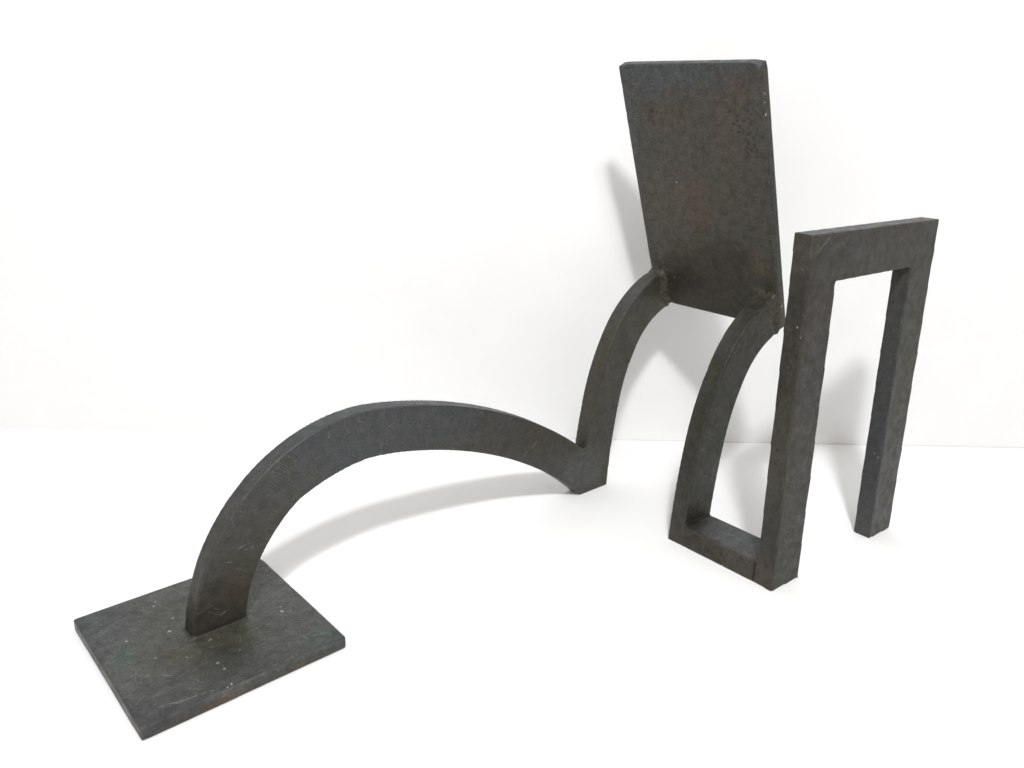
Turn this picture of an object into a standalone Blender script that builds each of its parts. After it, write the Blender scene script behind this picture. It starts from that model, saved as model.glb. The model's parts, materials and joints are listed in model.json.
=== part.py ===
"""Abstract desk sculpture welded up from flat bronze bar and plate, with a dark patina.

A square base plate carries a long low arch. The arch lands against a riser that curves up to an
upright panel. A second riser carries the panel's other corner, and a short foot bar ties it to a
post-and-lintel portal. Nothing moves: every member is welded to its neighbours.

Layout frame, before the whole model is centred: X runs along the arch from the base plate's free
edge, Y is 0 on the arch's middle plane and grows away from the portal, Z is up from the floor.
"""

import math

import bmesh
import bpy
from mathutils import Matrix, Vector

# Stock and joints, in metres.
BAR_THICKNESS = 0.0108
EDGE_EASE = 0.0006
JOINT_GAP = 0.0003
WELD_THICKNESS = 0.0016
CURVE_PITCH = 0.004
OVERRUN = 0.02

# Base plate.
BASE_LENGTH = 0.095
BASE_WIDTH = 0.0958
BASE_THICKNESS = 0.0065
BASE_MIDDLE_Y = -0.0013
BASE_YAW = math.radians(0.6)

# Arch: its centreline leaves the base plate almost upright and runs through three tangent arcs.
ARCH_WIDTH = 0.026
ARCH_FOOT_X = 0.0518
ARCH_HEADING = math.radians(83.9)
ARCH_ARCS = ((0.0614, 0.093), (0.0748, 0.0805), (0.19, 0.295))

# Risers: both have the same profile and stand with their outer foot corner at RISER_X.
RISER_WIDTH = 0.0254
RISER_X = 0.3
RISER_HEADING = math.radians(88.0)
RISER_ARCS = ((0.0633, 0.401), (0.0445, 0.1332), (0.045, 0.062))
RISER_FACE_HEADING = math.radians(86.2)
RISER_FACE_SAG = 0.0004
NEAR_RISER_Y = -0.085

# Panel: it leans back over the arch, and its lower corners sit on the risers' ends.
PANEL_HEIGHT = 0.16
PANEL_THICKNESS = 0.0062
PANEL_LEAN = math.radians(20.0)
PANEL_FOOT_X = 0.3759
PANEL_FOOT_Z = 0.1228
PANEL_NEAR_OVERHANG = 0.0018
PANEL_BEAD = 0.0008

# Portal: a post-and-lintel frame turned a little about its inner corner, and leaning a little.
PORTAL_Y = -0.1411
PORTAL_YAW = math.radians(-3.4)
PORTAL_LEAN_X = 0.009
PORTAL_LEAN_Y = 0.034
PORTAL_LENGTH = 0.1237
PORTAL_HEIGHT = 0.194
NEAR_POST_WIDTH = 0.0249
FAR_POST_WIDTH = 0.0239
LINTEL_DEPTH = 0.0251

# Foot bar between the near riser and the near post.
FOOT_BAR_WIDTH = 0.025
FOOT_BAR_HEIGHT = 0.013

# Patina colours, linear.
BROWN = (0.062, 0.056, 0.046)
SLATE = (0.078, 0.082, 0.08)
RUST_BROWN = (0.068, 0.055, 0.042)
WELD_GREY = (0.1, 0.094, 0.075)


def clear_scene():
    for obj in list(bpy.data.objects):
        bpy.data.objects.remove(obj)


def new_collection(name):
    collection = bpy.data.collections.new(name)
    bpy.context.scene.collection.children.link(collection)
    return collection


def patina(name, colour, roughness=0.5, metallic=0.6):
    """The dark oxide skin of one part."""
    material = bpy.data.materials.new(name)
    material.use_nodes = True
    shader = material.node_tree.nodes["Principled BSDF"]
    shader.inputs["Base Color"].default_value = (*colour, 1.0)
    shader.inputs["Roughness"].default_value = roughness
    shader.inputs["Metallic"].default_value = metallic
    material.diffuse_color = (*colour, 1.0)
    return material


def ease_edges(obj):
    """Rounds a plate's edges a little. The bars keep square ends, so that welds lie flush on them."""
    bevel = obj.modifiers.new("eased_edges", "BEVEL")
    bevel.width = EDGE_EASE
    bevel.segments = 2
    bevel.limit_method = "ANGLE"
    bevel.angle_limit = math.radians(30)


def block(name, low, high, colour):
    """A rectangular bar or plate between two corners, with its origin at its middle."""
    low, high = Vector(low), Vector(high)
    mesh = bpy.data.meshes.new(name)
    bm = bmesh.new()
    bmesh.ops.create_cube(bm, size=1.0, matrix=Matrix.Diagonal((*(high - low), 1.0)))
    bm.to_mesh(mesh)
    bm.free()
    obj = bpy.data.objects.new(name, mesh)
    obj.location = (low + high) / 2
    mesh.materials.append(patina(name, colour))
    return obj


def outline_curve(name, outline, thickness):
    """A flat 2D curve through the outline, filled on both sides and extruded to the thickness."""
    curve = bpy.data.curves.new(name, "CURVE")
    curve.dimensions = "2D"
    curve.fill_mode = "BOTH"
    curve.extrude = thickness / 2
    spline = curve.splines.new("POLY")
    spline.points.add(len(outline) - 1)
    for point, (x, y) in zip(spline.points, outline):
        point.co = (x, y, 0.0, 1.0)
    spline.use_cyclic_u = True
    return bpy.data.objects.new(name, curve)


def cut_from_plate(name, outline, thickness, colour, upright=True):
    """A solid of the outline's shape. Upright, it stands in the XZ plane; else it lies flat."""
    source = outline_curve(name, outline, thickness)
    bpy.context.scene.collection.objects.link(source)
    graph = bpy.context.evaluated_depsgraph_get()
    mesh = bpy.data.meshes.new_from_object(source.evaluated_get(graph), depsgraph=graph)
    bpy.data.objects.remove(source)
    bm = bmesh.new()
    bm.from_mesh(mesh)
    bmesh.ops.remove_doubles(bm, verts=bm.verts, dist=1e-5)
    caps = [edge for edge in bm.edges if all(abs(face.normal.z) > 0.9 for face in edge.link_faces)]
    bmesh.ops.dissolve_edges(bm, edges=caps)
    bmesh.ops.recalc_face_normals(bm, faces=bm.faces)
    bm.to_mesh(mesh)
    bm.free()
    mesh.materials.clear()
    mesh.materials.append(patina(name, colour))
    obj = bpy.data.objects.new(name, mesh)
    if upright:
        obj.rotation_euler.x = math.pi / 2
    return obj


def centreline(start, heading, arcs):
    """(x, z, heading) along tangent arcs that bend down to the right, run on straight at both ends."""
    x, z = start
    back = Vector((math.cos(heading), math.sin(heading))) * OVERRUN
    path = [(x - back.x, z - back.y, heading), (x, z, heading)]
    for length, radius in arcs:
        steps = round(length / CURVE_PITCH)
        turn = length / steps / radius
        chord = 2 * radius * math.sin(turn / 2)
        for _ in range(steps):
            x += chord * math.cos(heading - turn / 2)
            z += chord * math.sin(heading - turn / 2)
            heading -= turn
            path.append((x, z, heading))
    path.append((x + OVERRUN * math.cos(heading), z + OVERRUN * math.sin(heading), heading))
    return path


def edge_run(path, offset):
    """The line at a sideways offset from a centreline, positive on its left."""
    return [(x - offset * math.sin(h), z + offset * math.cos(h)) for x, z, h in path]


def start_on(run, point, normal):
    """The run from where it first comes to the kept side of a line, which the normal points to."""
    def height(place):
        return (place[0] - point[0]) * normal[0] + (place[1] - point[1]) * normal[1]

    for before, after in zip(run, run[1:]):
        if height(before) < 0 <= height(after):
            share = -height(before) / (height(after) - height(before))
            first = tuple(a + share * (b - a) for a, b in zip(before, after))
            rest = run[run.index(after):]
            return [first, *rest[math.dist(first, rest[0]) < 1e-6:]]
    raise ValueError("the run never reaches the line")


def between(path, width, first, last):
    """The bar's outline between two cuts, each a point and a normal that points into the bar."""
    sides = []
    for offset in (width / 2, -width / 2):
        run = start_on(edge_run(path, offset), *first)
        sides.append(start_on(run[::-1], *last)[::-1])
    return sides[0] + sides[1][::-1]


def shifted(cut, distance):
    """The same cut, moved along its normal."""
    (x, z), (nx, nz) = cut
    return (x + nx * distance, z + nz * distance), (nx, nz)


def flipped(cut):
    return cut[0], (-cut[1][0], -cut[1][1])


def weld_cuts(cut):
    """Both faces of the slab of weld metal between a neighbour's face and the bar's own end."""
    return shifted(cut, JOINT_GAP), flipped(shifted(cut, JOINT_GAP + WELD_THICKNESS))


def bar_end(cut):
    """Where the bar itself stops, one weld and two gaps from its neighbour's face."""
    return shifted(cut, WELD_THICKNESS + 2 * JOINT_GAP)


def arch_path():
    return centreline((ARCH_FOOT_X, BASE_THICKNESS), ARCH_HEADING, ARCH_ARCS)


def riser_path():
    start = (RISER_X + RISER_WIDTH / 2, 0.0)
    return centreline(start, RISER_HEADING, RISER_ARCS)


def base_cut():
    return (0.0, BASE_THICKNESS), (0.0, 1.0)


def riser_face_cut():
    """The far riser's outer face, where the arch lands, with the arch on its left."""
    normal = (-math.sin(RISER_FACE_HEADING), math.cos(RISER_FACE_HEADING))
    return shifted(((RISER_X, 0.0), normal), RISER_FACE_SAG)


def floor_cut():
    return (0.0, 0.0), (0.0, 1.0)


def panel_cut():
    """The panel's front face, with the risers on its left."""
    normal = (-math.cos(PANEL_LEAN), -math.sin(PANEL_LEAN))
    return (PANEL_FOOT_X, PANEL_FOOT_Z), normal


def base_plate():
    low = (0.0, BASE_MIDDLE_Y - BASE_WIDTH / 2, 0.0)
    high = (BASE_LENGTH, BASE_MIDDLE_Y + BASE_WIDTH / 2, BASE_THICKNESS)
    plate = block("base_plate", low, high, SLATE)
    plate.rotation_euler.z = BASE_YAW
    ease_edges(plate)
    return plate


def arch_parts():
    path = arch_path()
    foot, landing = base_cut(), riser_face_cut()
    bar = between(path, ARCH_WIDTH, bar_end(foot), bar_end(landing))
    foot_weld = between(path, ARCH_WIDTH, *weld_cuts(foot))
    landing_weld = between(path, ARCH_WIDTH, *reversed(weld_cuts(landing)))
    return [
        cut_from_plate("arch_bar", bar, BAR_THICKNESS, BROWN),
        cut_from_plate("arch_base_weld", foot_weld, BAR_THICKNESS, WELD_GREY),
        cut_from_plate("arch_riser_weld", landing_weld, BAR_THICKNESS, WELD_GREY),
    ]


def riser_parts(side, middle_y):
    """One riser and the proud weld bead between its end and the panel."""
    path = riser_path()
    bar = between(path, RISER_WIDTH, floor_cut(), bar_end(panel_cut()))
    bead_width = RISER_WIDTH + 2 * PANEL_BEAD
    bead = between(path, bead_width, *reversed(weld_cuts(panel_cut())))
    parts = [
        cut_from_plate(side + "_riser", bar, BAR_THICKNESS, BROWN),
        cut_from_plate(side + "_riser_panel_weld", bead, BAR_THICKNESS + 2 * PANEL_BEAD, WELD_GREY),
    ]
    for part in parts:
        part.location.y = middle_y
    return parts


def upright_panel():
    near = NEAR_RISER_Y - BAR_THICKNESS / 2 - PANEL_NEAR_OVERHANG
    far = BAR_THICKNESS / 2
    low = (0.0, near, 0.0)
    high = (PANEL_THICKNESS, far, PANEL_HEIGHT)
    panel = block("upright_panel", low, high, RUST_BROWN)
    ease_edges(panel)
    lean = Matrix.Rotation(-PANEL_LEAN, 4, "Y")
    panel.matrix_basis = Matrix.Translation((PANEL_FOOT_X, 0.0, PANEL_FOOT_Z)) @ lean @ panel.matrix_basis
    return panel


def foot_bar_parts():
    """The foot bar, cut to the portal's angle at its near end, and the weld on the near riser."""
    left, right = RISER_X, RISER_X + FOOT_BAR_WIDTH
    riser_face = NEAR_RISER_Y - BAR_THICKNESS / 2
    step = WELD_THICKNESS + 2 * JOINT_GAP
    far = riser_face - step
    near = PORTAL_Y + PORTAL_LEAN_Y * FOOT_BAR_HEIGHT + step
    slant = FOOT_BAR_WIDTH * math.tan(PORTAL_YAW)
    outline = [(left, near), (right, near + slant), (right, far), (left, far)]
    bar = cut_from_plate("foot_bar", outline, FOOT_BAR_HEIGHT, BROWN, upright=False)
    bar.location.z = FOOT_BAR_HEIGHT / 2
    weld_low = (left, riser_face - JOINT_GAP - WELD_THICKNESS, 0.0)
    weld_high = (right, riser_face - JOINT_GAP, FOOT_BAR_HEIGHT)
    return [bar, block("riser_foot_bar_weld", weld_low, weld_high, WELD_GREY)]


def portal_parts():
    """The post-and-lintel frame, built square from its inner near corner."""
    underside = PORTAL_HEIGHT - LINTEL_DEPTH
    post_top = underside - WELD_THICKNESS - 2 * JOINT_GAP
    far_left = PORTAL_LENGTH - FAR_POST_WIDTH
    parts = [
        block("lintel_bar", (0, -BAR_THICKNESS, underside), (PORTAL_LENGTH, 0, PORTAL_HEIGHT), BROWN),
    ]
    for side, left, width in (("near", 0.0, NEAR_POST_WIDTH), ("far", far_left, FAR_POST_WIDTH)):
        low = Vector((left, -BAR_THICKNESS, 0.0))
        high = Vector((left + width, 0.0, post_top))
        parts.append(block(side + "_post", low, high, BROWN))
        low.z = post_top + JOINT_GAP
        high.z = underside - JOINT_GAP
        parts.append(block(side + "_post_lintel_weld", low, high, WELD_GREY))
    return parts


def foot_bar_post_weld():
    """Weld metal between the foot bar's end and the near post, in the portal's own frame."""
    near = PORTAL_LEAN_Y * FOOT_BAR_HEIGHT + JOINT_GAP
    low = (0.0, near, 0.0)
    high = (FOOT_BAR_WIDTH, near + WELD_THICKNESS, FOOT_BAR_HEIGHT)
    return block("foot_bar_post_weld", low, high, WELD_GREY)


def lean(parts):
    """Shears the portal's parts so that they lean while their feet and the lintel stay level."""
    shear = Matrix.Identity(4)
    shear[0][2], shear[1][2] = PORTAL_LEAN_X, PORTAL_LEAN_Y
    for part in parts:
        part.data.transform(shear)
        part.location = shear @ part.location


def empty(name, location=(0.0, 0.0, 0.0), parent=None):
    holder = bpy.data.objects.new(name, None)
    holder.location = location
    holder.parent = parent
    return holder


def centre_on_origin(holder, parts):
    """Moves the holder so that the model's box stands on the origin, with its middle above it."""
    bpy.context.view_layer.update()
    graph = bpy.context.evaluated_depsgraph_get()
    corners = []
    for part in parts:
        shown = part.evaluated_get(graph)
        corners += [shown.matrix_world @ vertex.co for vertex in shown.data.vertices]
    for axis in (0, 1):
        values = [corner[axis] for corner in corners]
        holder.location[axis] = -(min(values) + max(values)) / 2


def build():
    clear_scene()
    collection = new_collection("flat_bar_sculpture")
    holder = empty("sculpture")
    portal = empty("portal", (RISER_X, PORTAL_Y, 0.0), holder)
    portal.rotation_euler.z = PORTAL_YAW
    members = [base_plate(), *arch_parts(), *riser_parts("far", 0.0)]
    members += [*riser_parts("near", NEAR_RISER_Y), upright_panel(), *foot_bar_parts()]
    frame = portal_parts()
    lean(frame)
    frame.append(foot_bar_post_weld())
    for part in members:
        part.parent = holder
    for part in frame:
        part.parent = portal
    for obj in (holder, portal, *members, *frame):
        collection.objects.link(obj)
    centre_on_origin(holder, members + frame)


build()
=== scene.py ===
"""Finished look of the welded flat-bar desk sculpture.

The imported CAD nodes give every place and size. Their solids are bridged across the weld gaps and
remeshed as one continuous bronze skin. The skin is softened, worn, nicked and pitted, and is then
shared out again into one closed piece for each CAD node, so that flush welds show no seam.
"""

import json
import math

import bmesh
import bpy
import numpy as np
from mathutils import Euler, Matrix, Vector, kdtree, noise
from mathutils.bvhtree import BVHTree


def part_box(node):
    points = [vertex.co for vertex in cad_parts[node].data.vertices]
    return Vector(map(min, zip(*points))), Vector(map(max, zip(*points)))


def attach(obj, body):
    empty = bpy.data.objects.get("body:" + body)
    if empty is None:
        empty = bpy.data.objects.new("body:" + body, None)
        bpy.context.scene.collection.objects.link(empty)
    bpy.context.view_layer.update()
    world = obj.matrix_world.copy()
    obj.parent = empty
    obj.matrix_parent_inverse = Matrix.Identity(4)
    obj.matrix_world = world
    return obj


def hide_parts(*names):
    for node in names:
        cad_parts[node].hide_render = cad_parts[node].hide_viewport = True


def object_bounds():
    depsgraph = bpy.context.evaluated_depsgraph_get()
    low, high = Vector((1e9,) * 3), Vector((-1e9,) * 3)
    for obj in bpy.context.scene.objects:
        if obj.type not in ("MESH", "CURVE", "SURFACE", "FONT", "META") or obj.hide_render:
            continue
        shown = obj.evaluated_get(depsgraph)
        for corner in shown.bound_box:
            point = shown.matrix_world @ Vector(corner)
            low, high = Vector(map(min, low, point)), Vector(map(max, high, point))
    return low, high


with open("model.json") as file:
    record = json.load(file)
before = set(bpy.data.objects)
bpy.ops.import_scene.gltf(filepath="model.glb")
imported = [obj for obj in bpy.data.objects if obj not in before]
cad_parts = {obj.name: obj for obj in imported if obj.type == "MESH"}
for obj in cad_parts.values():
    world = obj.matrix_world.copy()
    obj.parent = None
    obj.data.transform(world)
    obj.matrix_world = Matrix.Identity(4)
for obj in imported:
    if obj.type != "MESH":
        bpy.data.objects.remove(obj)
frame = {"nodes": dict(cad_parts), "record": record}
CAD_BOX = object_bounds()
SLOT_OF = {part["node"]: part["material_slot"] for part in frame["record"]["subparts"]}
WELDS = [node for node, slot in SLOT_OF.items() if slot == "weld_metal"]
PROUD_WELDS = [weld for weld in WELDS if "riser_panel" in weld]
FLUSH_WELDS = [weld for weld in WELDS if weld not in PROUD_WELDS]
MEMBERS = [node for node in SLOT_OF if node not in WELDS]
MM = 0.001
SEED = 11

# The skin's grid, how far a weld runs into its neighbours, and how far off a weld it is cut.
VOXEL = 0.68 * MM
WELD_REACH = 0.6 * MM
CUT_MARGIN = 0.05 * MM


# ---------------------------------------------------------------- reading meshes and CAD nodes

def values_of(items, key, width=1, kind=float):
    """One property of every item in a mesh's collection, as an array with a row for each."""
    values = np.empty(len(items) * width, kind)
    items.foreach_get(key, values)
    return values.reshape(-1, width) if width > 1 else values


def node_arrays(node):
    """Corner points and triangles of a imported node."""
    mesh = frame["nodes"][node].data
    mesh.calc_loop_triangles()
    triangles = values_of(mesh.loop_triangles, "vertices", 3, int)
    return values_of(mesh.vertices, "co", 3), triangles


def joint_of(weld):
    """(middle, axis, half thickness) of a weld slab, with the axis across the slab."""
    points, triangles = node_arrays(weld)
    a, b, c = (points[triangles[:, i]] for i in range(3))
    crosses = np.cross(b - a, c - a)
    axis = crosses[np.argmax(np.linalg.norm(crosses, axis=1))]
    axis = axis / np.linalg.norm(axis)
    along = points @ axis
    middle = (points.min(0) + points.max(0)) / 2
    middle = middle + axis * ((along.min() + along.max()) / 2 - middle @ axis)
    return middle, axis, (along.max() - along.min()) / 2


def bridged(weld):
    """A weld slab stretched across its gaps, so that it runs into both neighbours."""
    points, triangles = node_arrays(weld)
    middle, axis, half = joint_of(weld)
    along = (points - middle) @ axis
    stretch = WELD_REACH / half
    return points + np.outer(along * stretch, axis), triangles


def gathered(parts):
    """One pair of arrays from several, with the part number of each triangle."""
    points, triangles, owner, start = [], [], [], 0
    for number, (some_points, some_triangles) in enumerate(parts):
        points.append(some_points)
        triangles.append(some_triangles + start)
        owner.append(np.full(len(some_triangles), number))
        start += len(some_points)
    return np.concatenate(points), np.concatenate(triangles), np.concatenate(owner)


def surface_of(nodes):
    """A search tree over these nodes, with the node's place in the list for each triangle."""
    points, triangles, owner = gathered([node_arrays(node) for node in nodes])
    return BVHTree.FromPolygons(points.tolist(), triangles.tolist()), owner


def within(node, points, margin):
    """Which points lie in a node's box, grown by a margin."""
    low, high = (np.array(corner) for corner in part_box(node))
    return ((points > low - margin) & (points < high + margin)).all(1)


def spot(node, share):
    """The point at these shares of the way across a node's box."""
    low, high = (np.array(corner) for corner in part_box(node))
    return low + (high - low) * share


# ---------------------------------------------------------------- the continuous skin

# The joint that keeps crisp edges.
FOOT_WELD = "arch_base_weld"
# How much and how often the edges, worn stretches and welds are smoothed.
EDGE_ROUNDING = 0.5
EDGE_ROUNDS = 1
WORN_STRETCH = 16 * MM
WORN_ROUNDS = 3
FILLET_ROUNDS = 16
FLUSH_ROUNDS = 3
# Unevenness as (depth in mm, size in metres), and the proud welds' swelling in mm.
RIPPLES = ((0.05, 30 * MM), (0.03, 6 * MM))
WELD_LUMPS = (0.4, 2.4 * MM)
WELD_SWELL = 0.1


def remeshed(points, triangles):
    """The union of overlapping solids as one even quad mesh."""
    mesh = bpy.data.meshes.new("union")
    mesh.from_pydata(points.tolist(), [], triangles.tolist())
    solid = bpy.data.objects.new("union", mesh)
    bpy.context.scene.collection.objects.link(solid)
    remesh = solid.modifiers.new("skin", "REMESH")
    remesh.mode = "VOXEL"
    remesh.voxel_size = VOXEL
    graph = bpy.context.evaluated_depsgraph_get()
    skin = bpy.data.meshes.new_from_object(solid.evaluated_get(graph), depsgraph=graph)
    bpy.data.objects.remove(solid)
    return skin


def build_skin():
    """The members, with the welds bridging the gaps between them, as one mesh."""
    solids = [node_arrays(node) for node in MEMBERS]
    solids += [bridged(weld) for weld in WELDS]
    points, triangles, _ = gathered(solids)
    return remeshed(points, triangles)


def move(mesh, points):
    """Puts the mesh's points at new places."""
    mesh.vertices.foreach_set("co", points.astype(np.float32).ravel())
    mesh.update()


def directions(mesh):
    """The outward direction at each of the mesh's points."""
    return values_of(mesh.vertex_normals, "vector", 3)


def averaged(values, pairs):
    """Each point's mean over its neighbours, for one column or several."""
    count = np.bincount(pairs.ravel(), minlength=len(values)).clip(1)
    columns = values.reshape(len(values), -1)
    result = np.empty_like(columns)
    for i, column in enumerate(columns.T):
        total = np.bincount(pairs[:, 0], column[pairs[:, 1]], len(values))
        total += np.bincount(pairs[:, 1], column[pairs[:, 0]], len(values))
        result[:, i] = total / count
    return result.reshape(values.shape)


def relaxed(points, pairs, weight, rounds):
    """Smooths the points towards their neighbours, by a weight from 0 to 1 at each."""
    for _ in range(rounds):
        points = points + (averaged(points, pairs) - points) * (0.5 * weight)[:, None]
    return points


def ramp(values, low, high):
    """0 up to low, 1 from high, and a smooth rise between them. High may be the smaller one."""
    share = np.clip((values - low) / (high - low), 0, 1)
    return share * share * (3 - 2 * share)


def clouds(points, size):
    """Fractal noise of about -1 to 1, with features of this size in metres."""
    return np.array([noise.fractal(Vector(point) / size, 1.0, 2.0, 2) for point in points])


def distance_to(nodes, points, reach):
    """Each point's distance to the nearest of these nodes, up to the reach."""
    tree, _ = surface_of(nodes)
    near = np.any([within(node, points, reach) for node in nodes], 0)
    result = np.full(len(points), reach)
    for i in np.flatnonzero(near):
        found = tree.find_nearest(Vector(points[i]), reach)[3]
        result[i] = reach if found is None else found
    return result


def bends(points, normals, pairs):
    """How sharply the skin turns at each point: above 0 on an edge, below 0 in a hollow."""
    lean = ((points - averaged(points, pairs)) * normals).sum(1) / VOXEL
    return averaged(averaged(lean, pairs), pairs)


def soften(points, pairs):
    """Rounds every edge a little, some stretches more, and runs fillets into the proud welds.

    The arch's foot stays crisp. Returns the points, and how near each lies to a proud weld.
    """
    off_foot = ramp(distance_to([FOOT_WELD], points, 4 * MM), 2.5 * MM, 4 * MM)
    points = relaxed(points, pairs, EDGE_ROUNDING * off_foot, EDGE_ROUNDS)
    worn = ramp(clouds(points, WORN_STRETCH), 0.2, 0.9)
    points = relaxed(points, pairs, worn * off_foot, WORN_ROUNDS)
    proud = ramp(distance_to(PROUD_WELDS, points, 5 * MM), 4.5 * MM, 1 * MM)
    ground = [weld for weld in FLUSH_WELDS if weld != FOOT_WELD]
    flush = ramp(distance_to(ground, points, 3 * MM), 2 * MM, 0.5 * MM)
    points = relaxed(points, pairs, proud, FILLET_ROUNDS)
    return relaxed(points, pairs, flush, FLUSH_ROUNDS), proud


def ripple(points, normals, proud):
    """Hand-dressed unevenness of the bars, and lumps on the proud welds."""
    depth = sum(deep * clouds(points, size) for deep, size in RIPPLES)
    lumpy = np.flatnonzero(proud > 0)
    deep, size = WELD_LUMPS
    depth[lumpy] += proud[lumpy] * (WELD_SWELL + deep * clouds(points[lumpy], size))
    return points + normals * (depth * MM)[:, None]


# ---------------------------------------------------------------- wear on the skin

# Clusters on the panel's front, as a share of its box, a spread in metres and a count.
PANEL_PIT_CLUSTERS = (
    ((0.20, 0.12, 0.77), (0.03, 0.005, 0.013), 60),
    ((0.17, 0.79, 0.80), (0.03, 0.004, 0.008), 16),
    ((0.75, 0.93, 0.20), (0.03, 0.006, 0.008), 24),
)
# Evenly pitted sides, as a node, the side's axis and sign, and a count.
PITTED_SIDES = (
    ("upright_panel", 0, -1, 90),
    ("upright_panel", 0, 1, 60),
    ("near_post", 0, -1, 90),
    ("foot_bar", 0, -1, 110),
    ("base_plate", 2, 1, 40),
    ("arch_bar", 1, -1, 30),
    ("near_riser", 0, -1, 30),
)
# Dents, as a range of radii and a range of depths in mm.
NICKS = ((0.9, 1.5), (0.10, 0.34))
CLUSTER_PITS = ((0.7, 1.1), (0.12, 0.40))
SIDE_PITS = ((0.7, 1.2), (0.06, 0.24))
NICK_COUNT = 60
# The depth in mm at which a dent is black with dirt.
BLACK_DEPTH = 0.4
# Worn corners, and the arch's hand-cut inner edge: a node, a share of its box, a radius and a
# push in mm.
KNOCKS = (
    ("upright_panel", (0, 0, 1), 9, (0.0, 0.8, -1.6)),
    ("upright_panel", (0, 1, 1), 8, (0.0, -0.4, -0.9)),
    ("base_plate", (1, 1, 1), 9, (-1.6, -1.0, 0.0)),
    ("arch_bar", (0.29, 0.5, 0.70), 26, (0.6, 0.0, -1.2)),
    ("arch_bar", (0.36, 0.5, 0.73), 26, (0.3, 0.0, -0.6)),
    ("arch_bar", (0.22, 0.5, 0.645), 9, (-0.6, 0.0, 0.7)),
)
# The groove left beside the foot bar: its weld, and its half width and depth in mm.
OPEN_SEAM = "foot_bar_post_weld"
SEAM_REACH = 0.8
SEAM_DEPTH = 0.3


def tree_over(points):
    """A search tree over the points."""
    tree = kdtree.KDTree(len(points))
    for i, point in enumerate(points):
        tree.insert(point, i)
    tree.balance()
    return tree


def pushed(points, tree, centre, radius, push):
    """Moves the points around a centre by a vector, less towards the radius."""
    found = tree.find_range(centre, radius)
    near = [index for _, index, _ in found]
    share = ramp(np.array([distance for _, _, distance in found]), radius, 0)
    points[near] += np.outer(share, push)
    return near, share


def facing(node, points, normals, axis, sign):
    """1 for the skin points on this node's side that faces along an axis, and 0 elsewhere."""
    return within(node, points, 1 * MM) * (normals[:, axis] * sign > 0.8) * 1.0


def around(points, centre, spread):
    """1 at a centre, falling off with the distance."""
    return np.exp(-(((points - centre) / spread) ** 2).sum(1) / 2)


def pitted(skin, likely, count, rng, sizes):
    """Dents points picked by how likely each one is. Returns how dirty the dents leave them."""
    points, normals, tree = skin
    radius, depth = sizes
    dirt = np.zeros(len(points))
    for place in rng.choice(len(points), count, p=likely / likely.sum()):
        deep = rng.uniform(*depth)
        size = rng.uniform(*radius) * MM
        push = -normals[place] * deep * MM
        near, share = pushed(points, tree, points[place].copy(), size, push)
        dirt[near] = np.maximum(dirt[near], share * min(1, deep / BLACK_DEPTH))
    return dirt


def open_seam(points, normals, weld, axis, sign):
    """Cuts a groove along a weld's middle, on one side, and returns how dirty it is."""
    middle, across, _ = joint_of(weld)
    away = np.abs((points - middle) @ across)
    line = ramp(away, SEAM_REACH * MM, 0.1 * MM) * facing(weld, points, normals, axis, sign)
    points -= normals * (line * SEAM_DEPTH * MM)[:, None]
    return line


def wear(points, normals, pairs):
    """Nicked edges, casting pits, knocked corners and an open seam. Returns the dirt in them.

    The nicks are worn bare, so they hold no dirt.
    """
    rng = np.random.default_rng(SEED)
    skin = (points, normals, tree_over(points))
    edges = ramp(bends(points, normals, pairs), 0.05, 0.15)
    pitted(skin, edges, NICK_COUNT, rng, NICKS)
    dirt = np.zeros(len(points))
    panel_front = facing("upright_panel", points, normals, 0, -1)
    for share, spread, count in PANEL_PIT_CLUSTERS:
        likely = panel_front * around(points, spot("upright_panel", share), spread)
        dirt = np.maximum(dirt, pitted(skin, likely, count, rng, CLUSTER_PITS))
    for node, axis, sign, count in PITTED_SIDES:
        side = facing(node, points, normals, axis, sign)
        dirt = np.maximum(dirt, pitted(skin, side, count, rng, SIDE_PITS))
    for node, corner, radius, push in KNOCKS:
        pushed(points, skin[2], spot(node, corner), radius * MM, np.array(push) * MM)
    return np.maximum(dirt, open_seam(points, normals, OPEN_SEAM, 0, -1))


def shape_skin(mesh):
    """Shapes the raw skin and keeps the finished normals and the dirt on its points."""
    pairs = values_of(mesh.edges, "vertices", 2, int)
    points, proud = soften(values_of(mesh.vertices, "co", 3), pairs)
    move(mesh, points)
    points = ripple(points, directions(mesh), proud)
    move(mesh, points)
    dirt = wear(points, directions(mesh), pairs)
    floor = CAD_BOX[0][2]
    points[:, 2] = points[:, 2].clip(floor)
    move(mesh, points)
    mesh.attributes.new("dirt", "FLOAT", "POINT").data.foreach_set("value", dirt)
    facing_out = mesh.attributes.new("facing_out", "FLOAT_VECTOR", "POINT")
    facing_out.data.foreach_set("vector", directions(mesh).astype(np.float32).ravel())


# ---------------------------------------------------------------- sharing the skin out

# A number for each node, from 1. A face marked 0 has no owner yet.
NUMBER_OF = {node: number for number, node in enumerate(SLOT_OF, 1)}
# How far round a weld the skin is cut, and how far outside its node's box a face may lie.
CUT_REGION = 3 * MM
WELD_MARGIN = 1.2 * MM
MEMBER_MARGIN = 1.5 * MM
# The bend at which an edge or a hollow starts to show, and the bend at which it shows fully.
EDGE_BEND = (0.04, 0.16)
HOLLOW_BEND = (-0.012, -0.06)


def neighbour(middle, axis, distance):
    """The member that lies nearest to a point off a weld's middle."""
    tree, owner = surface_of(MEMBERS)
    return MEMBERS[owner[tree.find_nearest(Vector(middle + axis * distance))[2]]]


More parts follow.
